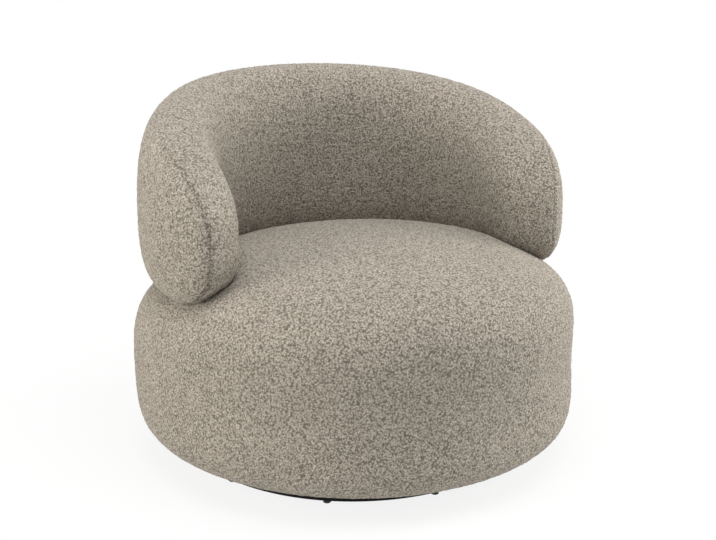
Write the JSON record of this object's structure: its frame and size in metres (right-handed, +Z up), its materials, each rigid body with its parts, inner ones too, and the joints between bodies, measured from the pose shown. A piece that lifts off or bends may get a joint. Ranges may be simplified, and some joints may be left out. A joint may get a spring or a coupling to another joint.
{
  "type": "swivel tub chair",
  "caption": "Round upholstered tub chair: a drum seat wrapped by one curved back and arm band, turning on a hidden round base plate.",
  "frame": {"origin": "on the floor at the swivel axis, under the middle of the round seat", "axes": "+Z up along the swivel axis, the open front of the seat faces -Y, +X to the right of someone looking at the front"},
  "size_m": [0.82, 0.8298, 0.685],
  "materials": {
    "boucle": "matte",
    "dust_cloth": "matte",
    "webbing": "matte",
    "foam": "matte",
    "timber": "matte",
    "plywood": "matte",
    "fibreboard": "matte",
    "black_board": "satin",
    "glide_plastic": "satin",
    "cage_nylon": "satin",
    "zinc_steel": "satin"
  },
  "bodies": {
    "base": {"base_plate": "black_board", "floor_glides": "glide_plastic", "lower_race_plate": "zinc_steel", "lower_race_screws": "zinc_steel", "pivot_bolt": "zinc_steel", "pivot_nut": "zinc_steel"},
    "roller_ring": {"roller_cage": "cage_nylon", "thrust_rollers": "zinc_steel"},
    "seat": {"upper_race_plate": "zinc_steel", "upper_race_screws": "zinc_steel", "bottom_board": "plywood", "side_panels": "fibreboard", "seat_ring": "plywood", "webbing_lengthwise": "webbing", "webbing_crosswise": "webbing", "dust_cover": "dust_cloth", "back_top_rail": "plywood", "back_bottom_rail": "plywood", "back_panel": "fibreboard", "side_foam": "foam", "seat_foam": "foam", "back_foam": "foam", "seat_cover": "boucle", "back_cover_inner": "boucle", "back_cover_outer": "boucle", "seat_post_1": "timber", "seat_post_2": "timber", "seat_post_3": "timber", "seat_post_4": "timber", "seat_post_5": "timber", "seat_post_6": "timber", "seat_post_7": "timber", "seat_post_8": "timber", "back_post_1": "timber", "back_post_2": "timber", "back_post_3": "timber", "back_post_4": "timber", "back_post_5": "timber", "back_post_6": "timber", "back_post_7": "timber"}
  },
  "joints": [
    {"name": "seat_swivel", "type": "hinge", "parent": "base", "child": "seat", "pos_m": [0, 0, 0.034], "axis": [0, 0, 1], "continuous": true},
    {"name": "roller_orbit", "type": "hinge", "parent": "base", "child": "roller_ring", "pos_m": [0, 0, 0.03], "axis": [0, 0, 1], "continuous": true}
  ],
  "couplings": [
    {"joint": "roller_orbit", "follows": "seat_swivel", "ratio": 0.5}
  ]
}
